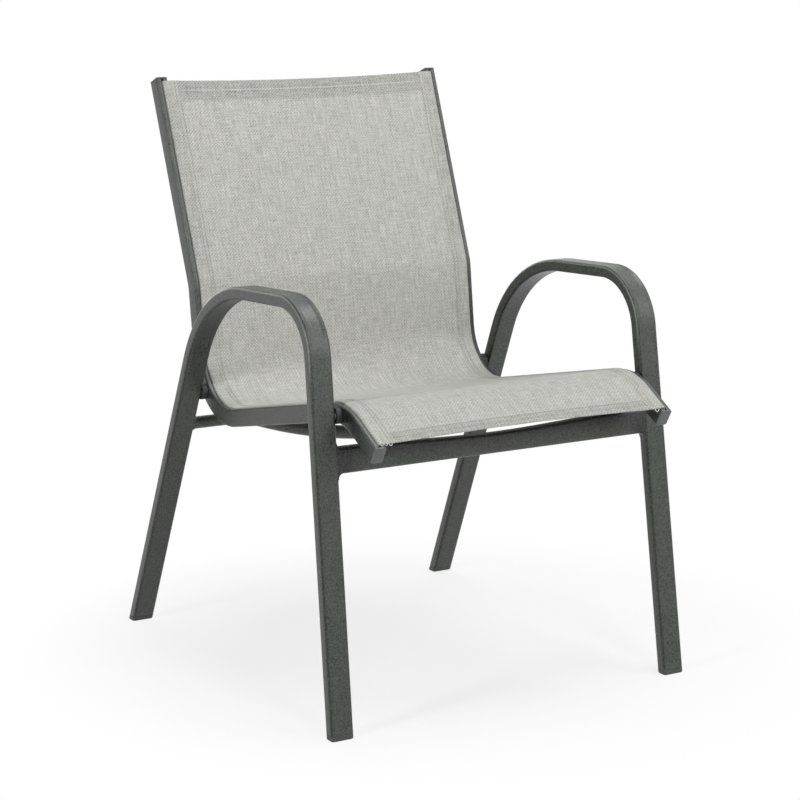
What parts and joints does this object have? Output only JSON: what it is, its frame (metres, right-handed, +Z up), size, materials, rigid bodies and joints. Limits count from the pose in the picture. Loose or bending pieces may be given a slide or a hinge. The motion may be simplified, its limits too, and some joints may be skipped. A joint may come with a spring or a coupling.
{
  "type": "sling patio chair",
  "caption": "Stacking patio armchair: side frames bent from flat tube with rounded corners, crossbars and a bent seat frame with a woven sling stretched between slotted rails.",
  "frame": {"origin": "on the floor, under the middle of the chair's outline", "axes": "+Z up, -Y the way the chair faces, +X to the right as seen from the front"},
  "size_m": [0.6, 0.7003, 0.8647],
  "materials": {
    "frame_coat": "anthracite powder coat with a fine speckle",
    "sling_weave": "light warm grey coated mesh weave",
    "foot_plastic": "dark moulded foot caps",
    "cap_plastic": "grey moulded end caps",
    "rod_plastic": "extruded spline rod",
    "spacer_plastic": "dark moulded spacers",
    "bolt_steel": "zinc plated",
    "insert_steel": "zinc plated"
  },
  "bodies": {
    "root": {"side_frame_left": "frame_coat", "side_frame_right": "frame_coat", "foot_cap_front_left": "foot_plastic", "foot_cap_front_right": "foot_plastic", "foot_cap_rear_left": "foot_plastic", "foot_cap_rear_right": "foot_plastic", "front_crossbar": "frame_coat", "rear_crossbar": "frame_coat", "seat_rail_left": "frame_coat", "seat_rail_right": "frame_coat", "rail_top_cap_left": "cap_plastic", "rail_top_cap_right": "cap_plastic", "rail_front_cap_left": "cap_plastic", "rail_front_cap_right": "cap_plastic", "seat_spreader": "frame_coat", "sling": "sling_weave", "sling_rod_left": "rod_plastic", "sling_rod_right": "rod_plastic", "spacer_front_left": "spacer_plastic", "spacer_front_right": "spacer_plastic", "spacer_rear_left": "spacer_plastic", "spacer_rear_right": "spacer_plastic", "bolt_front_left": "bolt_steel", "bolt_front_right": "bolt_steel", "bolt_rear_left": "bolt_steel", "bolt_rear_right": "bolt_steel", "threaded_insert_front_left": "insert_steel", "threaded_insert_front_right": "insert_steel", "threaded_insert_rear_left": "insert_steel", "threaded_insert_rear_right": "insert_steel"}
  },
  "joints": []
}
